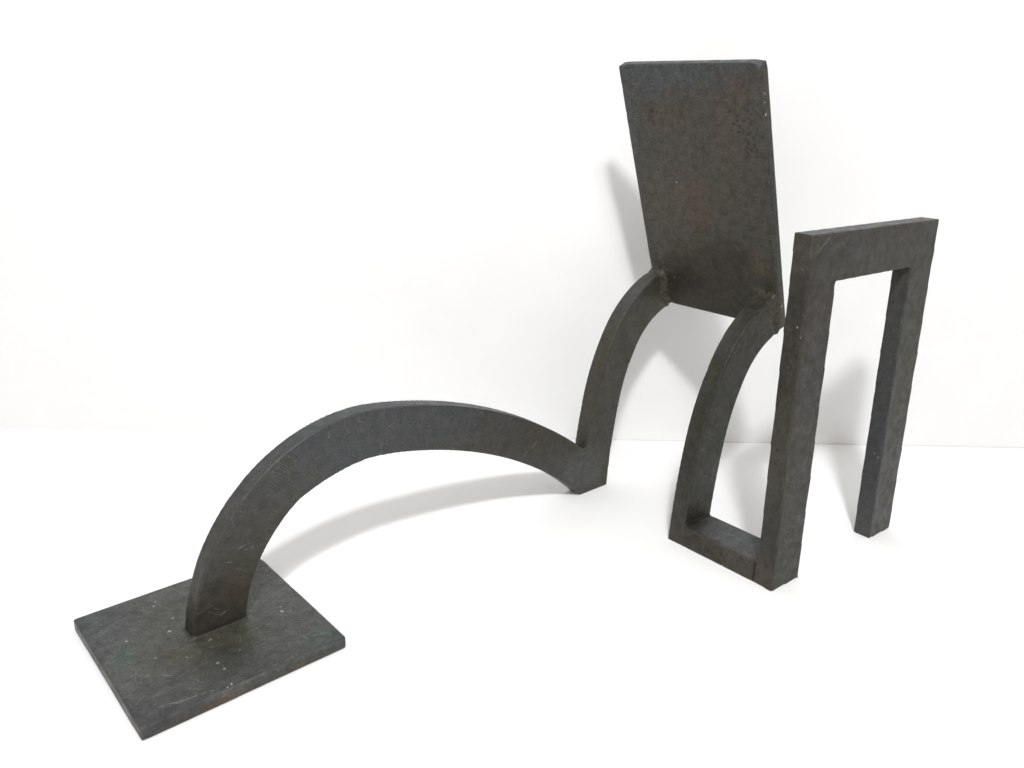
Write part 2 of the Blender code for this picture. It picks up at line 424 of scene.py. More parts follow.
def cut_at_joint(bm, mark, weld, faces):
    """Cuts the faces near a weld along both sides of its slab, and marks who owns each."""
    middle, axis, half = joint_of(weld)
    reach = half + CUT_MARGIN
    items = (item for face in faces for item in (face, *face.edges, *face.verts))
    geometry = list(dict.fromkeys(items))
    for side in (-1, 1):
        plane = {"plane_co": middle + axis * side * reach, "plane_no": axis, "dist": 1e-6}
        geometry = bmesh.ops.bisect_plane(bm, geom=geometry, **plane)["geom"]
    before = NUMBER_OF[neighbour(middle, axis, -2 * reach)]
    after = NUMBER_OF[neighbour(middle, axis, 2 * reach)]
    cut_faces = [face for face in geometry if isinstance(face, bmesh.types.BMFace)]
    centres = np.array([face.calc_center_median() for face in cut_faces])
    away = (centres - middle) @ axis
    own = (np.abs(away) < reach) & within(weld, centres, WELD_MARGIN)
    for face, is_own, is_before in zip(cut_faces, own, away < 0):
        beside = before if is_before else after
        face[mark] = NUMBER_OF[weld] if is_own else beside


def cut_at_joints(mesh):
    """Cuts the skin at every weld. The faces near a weld are marked with their owner's number."""
    middles = values_of(mesh.polygons, "center", 3)
    bm = bmesh.new()
    bm.from_mesh(mesh)
    mark = bm.faces.layers.int.new("owner")
    bm.faces.ensure_lookup_table()
    nearby = {
        weld: [bm.faces[i] for i in np.flatnonzero(within(weld, middles, CUT_REGION))]
        for weld in WELDS
    }
    for weld, faces in nearby.items():
        cut_at_joint(bm, mark, weld, faces)
    bm.to_mesh(mesh)
    bm.free()


def owners(mesh):
    """The number of the node that each face of the skin belongs to."""
    marks = values_of(mesh.attributes["owner"].data, "value", 1, int)
    middles = values_of(mesh.polygons, "center", 3)
    tree, owner = surface_of(MEMBERS)
    numbers = np.array([NUMBER_OF[node] for node in MEMBERS])
    inside = np.array([within(node, middles, MEMBER_MARGIN) for node in MEMBERS])
    only = numbers[inside.argmax(0)]
    marks = np.where((marks == 0) & (inside.sum(0) == 1), only, marks)
    for i in np.flatnonzero(marks == 0):
        marks[i] = numbers[owner[tree.find_nearest(Vector(middles[i]))[2]]]
    return marks


def open_rims(bm):
    """The edges of each open rim, as one list a rim."""
    for edge in bm.edges:
        edge.tag = edge.is_boundary
    rims = []
    for first in bm.edges:
        if not first.tag:
            continue
        first.tag = False
        rim = [first]
        for edge in rim:
            nearby = [other for corner in edge.verts for other in corner.link_edges if other.tag]
            rim += nearby
            for other in nearby:
                other.tag = False
        rims.append(rim)
    return rims


def cap(bm, rim):
    """Closes a rim with a fan of triangles round its middle."""
    corners = [edge.link_loops[0] for edge in rim]
    middle = bm.verts.new(sum((loop.vert.co for loop in corners), Vector()) / len(corners))
    for loop in corners:
        bm.faces.new((loop.link_loop_next.vert, loop.vert, middle))


def closed_piece(name, points, normals, triangles, attributes):
    """A closed mesh object from part of the skin, with its open ends capped flat."""
    used, local = np.unique(triangles, return_inverse=True)
    mesh = bpy.data.meshes.new(name)
    mesh.from_pydata(points[used].tolist(), [], local.reshape(-1, 3).tolist())
    for key, values in attributes.items():
        layer = mesh.attributes.new(key, "FLOAT", "POINT")
        layer.data.foreach_set("value", values[used].astype(np.float32))
    bm = bmesh.new()
    bm.from_mesh(mesh)
    for rim in open_rims(bm):
        cap(bm, rim)
    bm.to_mesh(mesh)
    bm.free()
    keep_normals(mesh, normals[used], len(triangles))
    piece = bpy.data.objects.new(name + "_skin", mesh)
    bpy.context.scene.collection.objects.link(piece)
    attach(piece, "root")
    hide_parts(name)
    return piece


def keep_normals(mesh, normals, skin_faces):
    """Shades a piece with the whole skin's normals, so that no seam shows, and its caps flat."""
    corners = values_of(mesh.loops, "vertex_index", 1, int)
    shading = normals[corners.clip(max=len(normals) - 1)]
    flat = values_of(mesh.polygon_normals, "vector", 3)
    shading[skin_faces * 3 :] = flat[skin_faces:].repeat(3, 0)
    mesh.normals_split_custom_set(shading.tolist())


def surface_marks(mesh, normals):
    """What the materials need to know of the shape: worn edges, hollows, dirt and welds."""
    points = values_of(mesh.vertices, "co", 3)
    bend = bends(points, normals, values_of(mesh.edges, "vertices", 2, int))
    return {
        "edge": ramp(bend, *EDGE_BEND),
        "hollow": ramp(bend, *HOLLOW_BEND),
        "dirt": values_of(mesh.attributes["dirt"].data, "value"),
        "proud_weld": ramp(distance_to(PROUD_WELDS, points, 9 * MM), 9 * MM, 1 * MM),
        "seam": ramp(distance_to(FLUSH_WELDS, points, 2 * MM), 1.2 * MM, 0),
    }


def share_out(mesh):
    """One closed piece for each CAD node, by name."""
    cut_at_joints(mesh)
    mesh.calc_loop_triangles()
    triangles = values_of(mesh.loop_triangles, "vertices", 3, int)
    owner = owners(mesh)[values_of(mesh.loop_triangles, "polygon_index", 1, int)]
    normals = values_of(mesh.attributes["facing_out"].data, "vector", 3)
    points = values_of(mesh.vertices, "co", 3)
    marks = surface_marks(mesh, normals)
    return {
        node: closed_piece(node, points, normals, triangles[owner == number], marks)
        for node, number in NUMBER_OF.items()
    }


# ---------------------------------------------------------------- materials

# Linear colours of the patina.
BROWN = (0.050, 0.045, 0.035)
SLATE = (0.049, 0.055, 0.059)
PEWTER = (0.074, 0.080, 0.078)
SAGE = (0.064, 0.067, 0.060)
OLIVE = (0.051, 0.048, 0.031)
MOSS = (0.024, 0.024, 0.018)
RUST = (0.062, 0.045, 0.031)
OCHRE = (0.085, 0.060, 0.030)
UMBER = (0.027, 0.022, 0.014)
PLUM = (0.028, 0.024, 0.021)
# Soot for the specks, seams and dirt, and also the painted shade laid in the hollows.
SOOT_AND_SHADE = (0.012, 0.011, 0.010)
VERDIGRIS = (0.060, 0.096, 0.076)
WELD_OLIVE = (0.070, 0.066, 0.037)
BRIGHT = (0.200, 0.195, 0.175)
CHALK = (0.420, 0.410, 0.350)

# Dark casting specks, as a cell in mm, a radius in mm and the share of cells that have one.
SPECKS = (4, 0.45, 0.3)
# Fine scratches: their length, spacing and patches in mm, and where in the noise they lie.
SCRATCH_LENGTH = 22.0
SCRATCH_GAP = 1.5
SCRATCH_PATCH = 14.0
SCRATCH_LEVEL = 0.56
SCRATCH_WIDTH = 0.016
# How ragged the rims of tinted patches and of chips are.
PATCH_RAGGED = 0.9
CHIP_RAGGED = 2.6
# How strongly each kind of mark shows.
WELD_SHOWS = 0.55
SPECK_SHOWS = 0.6
SEAM_SHOWS = 0.2
EDGE_SHOWS = 0.2
# The worn front edge of the arch, with its painted highlight.
RUB_AND_HIGHLIGHT_SHOWS = 0.6
STROKE_SHOWS = 0.6
DIRT_SHOWS = 0.6
CHIP_SHOWS = 0.6
# How dark the painted shade in the hollows is.
HOLLOW_SHOWS = 0.65
# The arch's left shoulder, where the front edge is worn and lightened with a painted highlight: a
# node, share and radii.
RUB_AND_HIGHLIGHT_EDGE = ("arch_bar", (0.17, 0.0, 0.83), (30, 5, 30))
# The surface of the patina outside the hollows, which are darkened with painted shade.
METALLIC = 0.25
SPECULAR = 0.4
ROUGHNESS = (0.40, 0.58)
BUMP_STRENGTH = 0.4
BUMP_DEPTH = 0.2 * MM


class Graph:
    """A material's shader nodes, with a short call for each kind used here."""

    def __init__(self, name):
        self.material = bpy.data.materials.new(name)
        self.material.use_nodes = True
        self.tree = self.material.node_tree
        self.shader = self.tree.nodes["Principled BSDF"]
        self.place = self.tree.nodes.new("ShaderNodeTexCoord").outputs["Object"]

    def node(self, kind, inputs, **settings):
        """Adds a node, feeds its inputs and sets its settings."""
        node = self.tree.nodes.new(kind)
        for key, value in settings.items():
            setattr(node, key, value)
        for key, value in inputs.items():
            self.feed(node.inputs[key], value)
        return node

    def feed(self, socket, value):
        """Links a node's output to the socket, or sets a number or colour on it."""
        if isinstance(value, bpy.types.NodeSocket):
            self.tree.links.new(value, socket)
        elif socket.type == "RGBA":
            socket.default_value = (*value, 1)
        else:
            socket.default_value = value

    def math(self, operation, a, b=0.0):
        return self.node("ShaderNodeMath", {0: a, 1: b}, operation=operation).outputs[0]

    def vector(self, operation, a, b=(0, 0, 0)):
        return self.node("ShaderNodeVectorMath", {0: a, 1: b}, operation=operation)

    def times(self, *values):
        """The product of several values."""
        product = values[0]
        for value in values[1:]:
            product = self.math("MULTIPLY", product, value)
        return product

    def ramp(self, value, low, high, start=0.0, end=1.0):
        """Start up to low, end from high, and a smooth change between them."""
        inputs = {"Value": value, "From Min": low, "From Max": high}
        inputs.update({"To Min": start, "To Max": end})
        settings = {"interpolation_type": "SMOOTHSTEP"}
        return self.node("ShaderNodeMapRange", inputs, **settings).outputs["Result"]

    def clouds(self, size, detail=3.0, place=None, rough=0.5):
        """Fractal noise of about 0.3 to 0.7, with features of this size in mm."""
        inputs = {"Vector": place or self.place, "Scale": 1 / (size * MM)}
        inputs.update({"Detail": detail, "Roughness": rough})
        return self.node("ShaderNodeTexNoise", inputs).outputs["Fac"]

    def specks(self):
        """Round dots, scattered at random."""
        size, radius, share = SPECKS
        inputs = {"Vector": self.place, "Scale": 1 / (size * MM)}
        cells = self.node("ShaderNodeTexVoronoi", inputs)
        rim = radius / size
        dot = self.ramp(cells.outputs["Distance"], rim, rim * 0.5)
        pick = self.node("ShaderNodeSeparateColor", {"Color": cells.outputs["Color"]})
        return self.times(dot, self.math("LESS_THAN", pick.outputs["Red"], share))

    def scratches(self, turn):
        """Fine broken lines along the X axis as turned by these Euler angles in degrees."""
        angles = [math.radians(angle) for angle in turn]
        inputs = {"Vector": self.place, "Rotation": angles}
        inputs["Scale"] = (SCRATCH_LENGTH * MM, SCRATCH_GAP * MM, SCRATCH_GAP * MM)
        place = self.node("ShaderNodeMapping", inputs, vector_type="TEXTURE").outputs["Vector"]
        wave = self.node("ShaderNodeTexNoise", {"Vector": place, "Scale": 1.0, "Detail": 1.0})
        level = self.math("SUBTRACT", wave.outputs["Fac"], SCRATCH_LEVEL)
        line = self.ramp(self.math("ABSOLUTE", level), SCRATCH_WIDTH, 0.0)
        shift = self.vector("ADD", self.place, tuple(0.01 * angle for angle in turn))
        broken = self.clouds(SCRATCH_PATCH, 2.0, shift.outputs["Vector"])
        return self.times(line, self.ramp(broken, 0.50, 0.60))

    def patch(self, node, share, radii):
        """1 in the middle of a patch on a node and 0 beyond its radii in mm."""
        away = self.vector("SUBTRACT", self.place, tuple(spot(node, share)))
        scale = tuple(1 / (radius * MM) for radius in radii)
        away = self.vector("MULTIPLY", away.outputs["Vector"], scale)
        away = self.vector("LENGTH", away.outputs["Vector"]).outputs["Value"]
        rim = self.math("SUBTRACT", self.clouds(9, 6, rough=0.7), 0.5)
        away = self.math("ADD", away, self.times(rim, 2 * PATCH_RAGGED))
        return self.ramp(away, 1.1, 0.35)

    def dots(self, spots):
        """Chips at (node, share of its box, radius in mm)."""
        rough = self.math("SUBTRACT", self.clouds(1.0, 2), 0.5)
        rough = self.times(rough, CHIP_RAGGED * MM)
        marks = 0.0
        for node, share, radius in spots:
            away = self.vector("SUBTRACT", self.place, tuple(spot(node, share)))
            away = self.vector("LENGTH", away.outputs["Vector"]).outputs["Value"]
            away = self.math("ADD", away, rough)
            mark = self.ramp(away, radius * MM, 0.5 * radius * MM)
            marks = self.math("MAXIMUM", marks, mark)
        return marks

    def strokes(self, lines):
        """Single scratches at (node, start and end as shares of its box, width in mm)."""
        broken = self.ramp(self.clouds(2.0, 3), 0.42, 0.56, 0.1, 1.0)
        marks = 0.0
        for node, start_share, end_share, width in lines:
            start = Vector(spot(node, start_share))
            run = Vector(spot(node, end_share)) - start
            away = self.vector("SUBTRACT", self.place, tuple(start)).outputs["Vector"]
            along = self.vector("DOT_PRODUCT", away, tuple(run.normalized())).outputs["Value"]
            inputs = {"Value": along, "From Max": run.length, "To Max": 1.0}
            share = self.node("ShaderNodeMapRange", inputs).outputs["Result"]
            nearest = self.node("ShaderNodeCombineXYZ", {0: share, 1: share, 2: share})
            nearest = self.vector("MULTIPLY", nearest.outputs["Vector"], tuple(run))
            away = self.vector("SUBTRACT", away, nearest.outputs["Vector"]).outputs["Vector"]
            away = self.vector("LENGTH", away).outputs["Value"]
            taper = self.times(share, self.math("SUBTRACT", 1.0, share), 4.0)
            away = self.math("ADD", away, self.ramp(taper, 0.7, 0.0, 0.0, width * MM))
            mark = self.ramp(away, width * MM, 0.3 * width * MM)
            marks = self.math("MAXIMUM", marks, mark)
        return self.times(marks, broken)

    def attribute(self, name):
        """One of the surface marks that the mesh carries."""
        return self.node("ShaderNodeAttribute", {}, attribute_name=name).outputs["Fac"]

    def facing_up(self):
        """1 where the surface faces up, and 0 from 60 degrees off."""
        normal = self.node("ShaderNodeNewGeometry", {}).outputs["Normal"]
        along = self.vector("DOT_PRODUCT", normal, (0, 0, 1)).outputs["Value"]
        return self.ramp(along, 0.5, 0.9)

    def mixed(self, under, over, share, blend="MIX"):
        """Lays a share of one colour over another."""
        inputs = {"Fac": share, "Color1": under, "Color2": over}
        return self.node("ShaderNodeMixRGB", inputs, blend_type=blend).outputs["Color"]


def patina_ground_and_sheen(graph, slate):
    """The patina's colour, brown with olive and umber clouds and some slate, plus a painted slate
    sheen on faces that look up.
    """
    slaty = graph.ramp(graph.clouds(60, 2), 0.40, 0.60, 0.0, slate)
    colour = graph.mixed(BROWN, SLATE, slaty)
    colour = graph.mixed(colour, OLIVE, graph.ramp(graph.clouds(30, 3), 0.48, 0.66, 0.0, 0.6))
    colour = graph.mixed(colour, UMBER, graph.ramp(graph.clouds(13, 3), 0.50, 0.72, 0.0, 0.45))
    # Painted sheen: faces that look up take slate, standing in for the sky's reflection.
    return graph.mixed(colour, SLATE, graph.times(graph.facing_up(), slate))


def grained(graph, colour, contrast):
    """Lays a fine grain and coarser mottling over a colour."""
    fine = graph.ramp(graph.clouds(1.1, 3), 0.3, 0.7, 1 - contrast, 1 + contrast)
    coarse = graph.ramp(graph.clouds(4, 4), 0.3, 0.7, 1 - 0.8 * contrast, 1 + 0.8 * contrast)
    grain = graph.times(fine, coarse)
    shade = graph.node("ShaderNodeCombineColor", {0: grain, 1: grain, 2: grain})
    return graph.mixed(colour, shade.outputs["Color"], 1.0, "MULTIPLY")


def tinted(graph, colour, zones):
    """Lays ragged, grainy patches of tint over a colour."""
    grain = graph.ramp(graph.clouds(2.2, 4, rough=0.7), 0.36, 0.58, 0.45, 1.0)
    for tint, strength, node, share, radii in zones:
        patch = graph.times(graph.patch(node, share, radii), grain, strength)
        colour = graph.mixed(colour, tint, patch)
    return colour


def marked(graph, colour, scratches, chips):
    """Adds welds, casting specks, seams, worn edges, a worn edge with painted highlight,
    scratches, dirt, chips and painted hollow shade, in that order.
    """
    weld = graph.ramp(graph.attribute("proud_weld"), 0.3, 1.0, 0.0, WELD_SHOWS)
    weld = graph.times(weld, graph.ramp(graph.clouds(4), 0.3, 0.6))
    patchy = graph.ramp(graph.clouds(5, 4), 0.42, 0.62, 0.05, 1.0)
    edge = graph.times(graph.attribute("edge"), patchy)
    # Wear and painted highlight: the sharpest edges on the arch's left shoulder are lightened with
    # chalk.
    rub_and_highlight = graph.math("POWER", graph.attribute("edge"), 4.0)
    rub_and_highlight = graph.times(rub_and_highlight, graph.patch(*RUB_AND_HIGHLIGHT_EDGE))
    marks = (
        (WELD_OLIVE, weld, 1.0),
        (SOOT_AND_SHADE, graph.specks(), SPECK_SHOWS),
        (SOOT_AND_SHADE, graph.attribute("seam"), SEAM_SHOWS),
        (BRIGHT, edge, EDGE_SHOWS),
        (CHALK, rub_and_highlight, RUB_AND_HIGHLIGHT_SHOWS),
        (BRIGHT, scratches, 1.0),
        (SOOT_AND_SHADE, graph.attribute("dirt"), DIRT_SHOWS),
        (CHALK, chips, CHIP_SHOWS),
        # Painted shade: concave creases and hollows are darkened with soot colour.
        (SOOT_AND_SHADE, graph.attribute("hollow"), HOLLOW_SHOWS),
    )
    for tint, share, shows in marks:
        colour = graph.mixed(colour, tint, graph.times(share, shows))
    return colour


def finished(graph, colour, scratches):
    """Feeds the colour, a varied roughness and a cast-skin bump to the shader."""
    outside_hollows = graph.math("SUBTRACT", 1.0, graph.attribute("hollow"))
    height = graph.math("ADD", graph.times(graph.clouds(0.9, 4), 0.5), graph.clouds(3.2, 4))
    height = graph.math("SUBTRACT", height, graph.times(graph.specks(), 0.5))
    height = graph.math("SUBTRACT", height, graph.times(scratches, 0.3))
    bump = {"Height": height, "Strength": BUMP_STRENGTH, "Distance": BUMP_DEPTH}
    sockets = {
        "Base Color": colour,
        "Roughness": graph.ramp(graph.clouds(5, 4), 0.3, 0.7, *ROUGHNESS),
        "Metallic": graph.times(outside_hollows, METALLIC),
        "Specular IOR Level": graph.times(outside_hollows, SPECULAR),
        "Normal": graph.node("ShaderNodeBump", bump).outputs["Normal"],
    }
    for key, value in sockets.items():
        graph.feed(graph.shader.inputs[key], value)
    return graph.material


def patina(name, slate, contrast, zones, turns, lines, spots):
    """A bronze patina with tinted zones, fine scratches at some turns, strokes and chips."""
    graph = Graph(name)
    scratches = graph.times(graph.strokes(lines), STROKE_SHOWS)
    for turn, strength in turns:
        fine = graph.times(graph.scratches(turn), strength)
        scratches = graph.math("MAXIMUM", scratches, fine)
    colour = tinted(graph, patina_ground_and_sheen(graph, slate), zones)
    colour = grained(graph, colour, contrast)
    colour = marked(graph, colour, scratches, graph.dots(spots))
    return finished(graph, colour, scratches)


def bar_patina(name):
    """The bars and their flush welds."""
    zones = (
        (SLATE, 0.9, "arch_bar", (0.45, 0.0, 0.90), (110, 20, 44)),
        (MOSS, 0.4, "arch_bar", (0.0, 0.7, 0.45), (30, 8, 70)),
        (RUST, 0.6, "arch_bar", (0.085, 0.0, 0.28), (9, 8, 12)),
        (PEWTER, 0.8, "arch_riser_weld", (0.4, 0.0, 0.5), (24, 20, 22)),
        (OLIVE, 0.8, "far_riser", (0.9, 0.5, 0.9), (30, 30, 30)),
        (MOSS, 0.7, "near_riser", (0.0, 0.5, 0.5), (60, 20, 150)),
        (OLIVE, 0.8, "near_riser", (0.8, 0.5, 0.9), (40, 20, 44)),
        (OLIVE, 0.6, "near_riser", (0.2, 0.5, 0.6), (24, 12, 40)),
        (MOSS, 1.0, "near_riser", (0.5, -0.2, 0.5), (90, 14, 160)),
        (MOSS, 1.0, "near_post", (0.0, 0.5, 0.3), (14, 22, 130)),
        (UMBER, 0.8, "near_post", (0.0, 0.5, 0.78), (12, 18, 70)),
        (PLUM, 0.6, "near_post", (0.0, 0.5, 0.97), (12, 16, 26)),
        (OLIVE, 0.7, "near_post", (0.0, 0.5, 0.46), (7, 14, 36)),
        (PLUM, 1.0, "near_post", (0.8, -0.1, 0.8), (36, 14, 130)),
        (MOSS, 1.0, "near_post", (0.8, -0.1, 0.1), (36, 14, 100)),
        (PLUM, 0.6, "far_post", (0.6, -0.1, 0.6), (26, 12, 160)),
        (SLATE, 0.7, "far_post", (0.0, 0.5, 0.4), (7, 20, 120)),
        (PLUM, 0.4, "lintel_bar", (0.5, -0.1, 0.5), (110, 9, 40)),
        # Painted light: the foot bar's top is lightened in pewter against the shadow that falls on
        # it.
        (PEWTER, 1.0, "foot_bar", (0.5, 0.5, 1.0), (31, 28, 1.5)),
        (RUST, 0.5, "foot_bar", (0.0, 0.3, 0.5), (4, 26, 10)),
        (RUST, 0.4, "near_riser", (0.0, 0.5, 0.03), (6, 12, 9)),
        (RUST, 0.5, "near_post", (0.0, 0.6, 0.05), (6, 12, 18)),
        (UMBER, 0.8, "foot_bar", (0.0, 0.7, 0.5), (4, 18, 10)),
    )
    turns = (((0, 35, 0), 0.3), ((0, -20, 0), 0.25), ((0, 80, 0), 0.25))
    lines = (
        ("arch_bar", (0.09, 0.0, 0.45), (0.12, 0.0, 0.465), 0.4),
        ("arch_bar", (0.10, 0.0, 0.43), (0.13, 0.0, 0.437), 0.3),
        ("arch_bar", (0.065, 0.0, 0.41), (0.085, 0.0, 0.385), 0.4),
        ("arch_bar", (0.05, 0.0, 0.12), (0.065, 0.0, 0.135), 0.5),
        ("arch_bar", (0.81, 0.0, 0.45), (0.84, 0.0, 0.51), 0.5),
        ("arch_bar", (0.29, 0.0, 0.95), (0.29, 0.0, 0.90), 0.4),
        ("lintel_bar", (0.13, 0.38, 0.97), (0.03, 0.40, 0.61), 0.5),
        ("lintel_bar", (0.0, 0.69, 0.36), (0.0, 0.53, 0.28), 0.6),
    )
    spots = (
        ("far_riser", (0.95, 0.0, 0.88), 0.6),
        ("far_riser", (0.90, 0.0, 0.91), 0.5),
        ("far_riser", (0.93, 0.0, 0.93), 0.4),
        ("near_riser", (0.96, 0.0, 0.93), 0.7),
        ("near_post", (0.07, 0.54, 0.89), 0.5),
        ("near_post", (0.06, 0.40, 0.86), 0.4),
        ("far_post", (0.03, 0.30, 0.32), 0.6),
        ("far_post", (0.05, 0.45, 0.33), 0.4),
    )
    return patina(name, 0.45, 0.14, zones, turns, lines, spots)


def plate_patina(name):
    """The base plate, with many scratches and verdigris scuffs."""
    base = "base_plate"
    zones = (
        (PEWTER, 0.8, base, (0.5, 0.5, 1.0), (300, 300, 2.5)),
        (SAGE, 0.9, base, (0.5, 0.45, 1.0), (80, 70, 8)),
        (OLIVE, 0.35, base, (0.45, 0.5, 1.0), (40, 40, 8)),
        (UMBER, 0.35, base, (0.35, 0.30, 1.0), (26, 20, 8)),
        (UMBER, 0.3, base, (0.3, 0.8, 1.0), (30, 10, 8)),
        (VERDIGRIS, 0.5, base, (0.13, 0.59, 1.0), (6, 9, 6)),
        (VERDIGRIS, 0.45, base, (0.08, 0.50, 1.0), (5, 9, 6)),
        (VERDIGRIS, 0.3, base, (0.04, 0.13, 1.0), (5, 12, 6)),
        (VERDIGRIS, 0.4, base, (0.92, 0.08, 1.0), (8, 8, 6)),
        (SLATE, 0.9, base, (0.0, 0.9, 1.0), (22, 32, 6)),
        (SLATE, 0.9, base, (1.0, 0.0, 1.0), (12, 12, 8)),
        (SLATE, 1.0, base, (0.0, 0.0, 1.0), (34, 30, 8)),
        (UMBER, 0.35, base, (0.04, 0.05, 1.0), (28, 22, 8)),
        (WELD_OLIVE, 0.6, "arch_base_weld", (0.3, -0.6, 0.0), (26, 13, 4)),
        (OCHRE, 0.6, base, (0.36, -0.02, 0.4), (15, 4, 5)),
        (RUST, 0.7, base, (0.30, -0.02, 0.2), (10, 4, 5)),
        (RUST, 0.6, base, (0.79, -0.02, 0.4), (10, 4, 6)),
        (RUST, 0.6, base, (-0.02, 0.05, 0.3), (4, 9, 6)),
        (UMBER, 0.5, base, (-0.02, 0.5, 0.3), (4, 70, 5)),
    )
    turns = (
        ((0, 0, 20), 0.5),
        ((0, 0, 75), 0.45),
        ((0, 0, -40), 0.45),
        ((0, 0, 130), 0.4),
        ((0, 0, 5), 0.45),
    )
    lines = (
        (base, (0.10, 0.09, 1.0), (0.25, 0.055, 1.0), 0.6),
        (base, (0.20, 0.065, 1.0), (0.38, 0.035, 1.0), 0.6),
        (base, (0.14, 0.065, 1.0), (0.30, 0.05, 1.0), 0.5),
        (base, (0.07, 0.81, 1.0), (0.13, 0.79, 1.0), 0.6),
        (base, (0.06, 0.79, 1.0), (0.11, 0.78, 1.0), 0.5),
        (base, (0.83, 0.16, 1.0), (0.85, 0.09, 1.0), 0.5),
        (base, (0.87, 0.12, 1.0), (0.93, 0.10, 1.0), 0.5),
        (base, (0.14, 0.33, 1.0), (0.17, 0.30, 1.0), 0.6),
        (base, (0.19, 0.29, 1.0), (0.24, 0.25, 1.0), 0.6),
        (base, (0.60, 0.03, 1.0), (0.76, 0.03, 1.0), 0.4),
        (base, (0.30, 0.17, 1.0), (0.33, 0.11, 1.0), 0.4),
    )
    spots = (
        (base, (0.34, 0.59, 1.0), 1.1),
        (base, (0.39, 0.69, 1.0), 0.7),
        (base, (0.37, 0.88, 1.0), 0.6),
        (base, (0.35, 0.85, 1.0), 0.4),
        (base, (0.15, 0.64, 1.0), 0.8),
        (base, (0.47, 0.40, 1.0), 0.8),
        (base, (0.85, 0.40, 1.0), 1.2),
        (base, (0.86, 0.44, 1.0), 0.6),
        (base, (0.43, 0.21, 1.0), 1.0),
        (base, (0.44, 0.15, 1.0), 0.8),
        (base, (0.42, 0.03, 1.0), 0.8),
        (base, (0.40, 0.02, 1.0), 0.6),
        (base, (0.11, 0.11, 1.0), 0.8),
        (base, (0.04, 0.41, 1.0), 0.5),
        (base, (0.33, 0.34, 1.0), 0.5),
        (base, (0.22, 0.43, 1.0), 0.5),
        (base, (0.55, 0.24, 1.0), 0.4),
    )
    return patina(name, 0.4, 0.19, zones, turns, lines, spots)


def panel_patina(name):
    """The upright panel: slate along the top, rust in the middle, olive and umber lower down."""
    panel = "upright_panel"
    zones = (
        (OLIVE, 0.7, panel, (0.5, 0.45, 0.93), (60, 20, 12)),
        (SLATE, 1.0, panel, (0.0, 0.70, 0.98), (60, 70, 20)),
        (SLATE, 0.8, panel, (0.1, 1.00, 0.80), (60, 12, 34)),
        (SLATE, 0.9, panel, (0.1, 0.10, 1.0), (60, 34, 7)),
        (RUST, 0.7, panel, (0.1, 0.14, 0.90), (60, 9, 8)),
        (RUST, 0.5, panel, (0.3, 0.70, 0.80), (60, 18, 12)),
        (RUST, 0.5, panel, (0.3, 0.22, 0.75), (60, 18, 28)),
        (OLIVE, 0.8, panel, (0.5, 0.30, 0.58), (60, 18, 22)),
        (OLIVE, 0.8, panel, (0.5, 0.85, 0.42), (60, 18, 30)),
        (RUST, 0.8, panel, (0.44, 0.56, 0.48), (60, 20, 28)),
        (OCHRE, 0.2, panel, (0.44, 0.54, 0.46), (60, 13, 19)),
        (OLIVE, 0.9, panel, (0.75, 0.70, 0.24), (60, 34, 24)),
        (UMBER, 0.6, panel, (0.7, 0.33, 0.26), (60, 18, 20)),
        (UMBER, 0.6, panel, (0.85, 0.50, 0.10), (60, 90, 50)),
        (PLUM, 0.7, panel, (0.77, 0.67, 0.14), (60, 18, 9)),
        (RUST, 0.6, panel, (0.6, 0.13, 0.29), (60, 7, 11)),
        (OCHRE, 0.9, panel, (0.66, 0.11, 0.25), (60, 5, 6)),
        (SLATE, 0.9, panel, (0.5, -0.03, 0.5), (60, 4, 160)),
    )
    turns = (((60, 0, 90), 0.15), ((20, 0, 90), 0.15), ((-70, 0, 90), 0.15))
    lines = ((panel, (0.7, 0.25, 0.30), (0.77, 0.26, 0.20), 0.4),)
    spots = (
        (panel, (0.80, 0.87, 0.11), 0.6),
        (panel, (0.79, 0.80, 0.13), 0.5),
        (panel, (0.11, 0.0, 0.89), 0.7),
        (panel, (0.13, 0.0, 0.86), 0.6),
        (panel, (0.17, 0.0, 0.82), 0.9),
        (panel, (0.40, 0.67, 0.55), 0.5),
        (panel, (0.87, 0.0, 0.10), 0.9),
    )
    return patina(name, 0.15, 0.22, zones, turns, lines, spots)


def dress(pieces):
    """Gives each piece the material of its slot. Welds take the bars' one, so none shows."""
    bars = bar_patina("bar_patina")
    looks = {
        "bar_patina": bars,
        "plate_patina": plate_patina("plate_patina"),
        "panel_patina": panel_patina("panel_patina"),
        "weld_metal": bars,
    }
    for node, piece in pieces.items():
        piece.data.materials.append(looks[SLOT_OF[node]])


# ---------------------------------------------------------------- floor, wall, light and camera

WALL_NORMAL = Vector((0.6456, 0.7637, 0.0))
WALL_DISTANCE = 0.1907
STAGE_SIZE = 8.0
# The shaded strip at the wall's foot, as shares of the stage: its width, and how far it runs left.
LIP = 0.0001
LIP_END = 0.01
FLOOR_TONE = 0.97
WALL_TONE = 0.90
LIP_TONE = 0.76
CAMERA_PLACE = (-0.27801, -0.28957, 0.25176)
CAMERA_YAW, CAMERA_PITCH, CAMERA_ROLL = 41.509, 18.701, 1.629
CAMERA_LENS = 28.69
CAMERA_SHIFT = (-0.0011, -0.0080)
# Lamps as a name, a place, a power in watts and a width.
LAMPS = (
    ("left_lamp", (-0.47, -0.54, 1.00), 8.2, 0.09),
    ("right_lamp", (-0.22, -0.39, 0.75), 1.15, 0.09),
)
LAMP_AIM = (0.0, 0.0, 0.08)
LAMP_COLOUR = (0.97, 0.985, 1.0)
# The sky's colour, its brightest side, its least and most strength, and where the dim part ends.
SKY_COLOUR = (1.0, 0.96, 0.91)
SKY_SIDE = (-0.25, -0.55, 0.80)
SKY_DIM, SKY_BRIGHT = 0.08, 0.67
SKY_DIM_END = -0.3


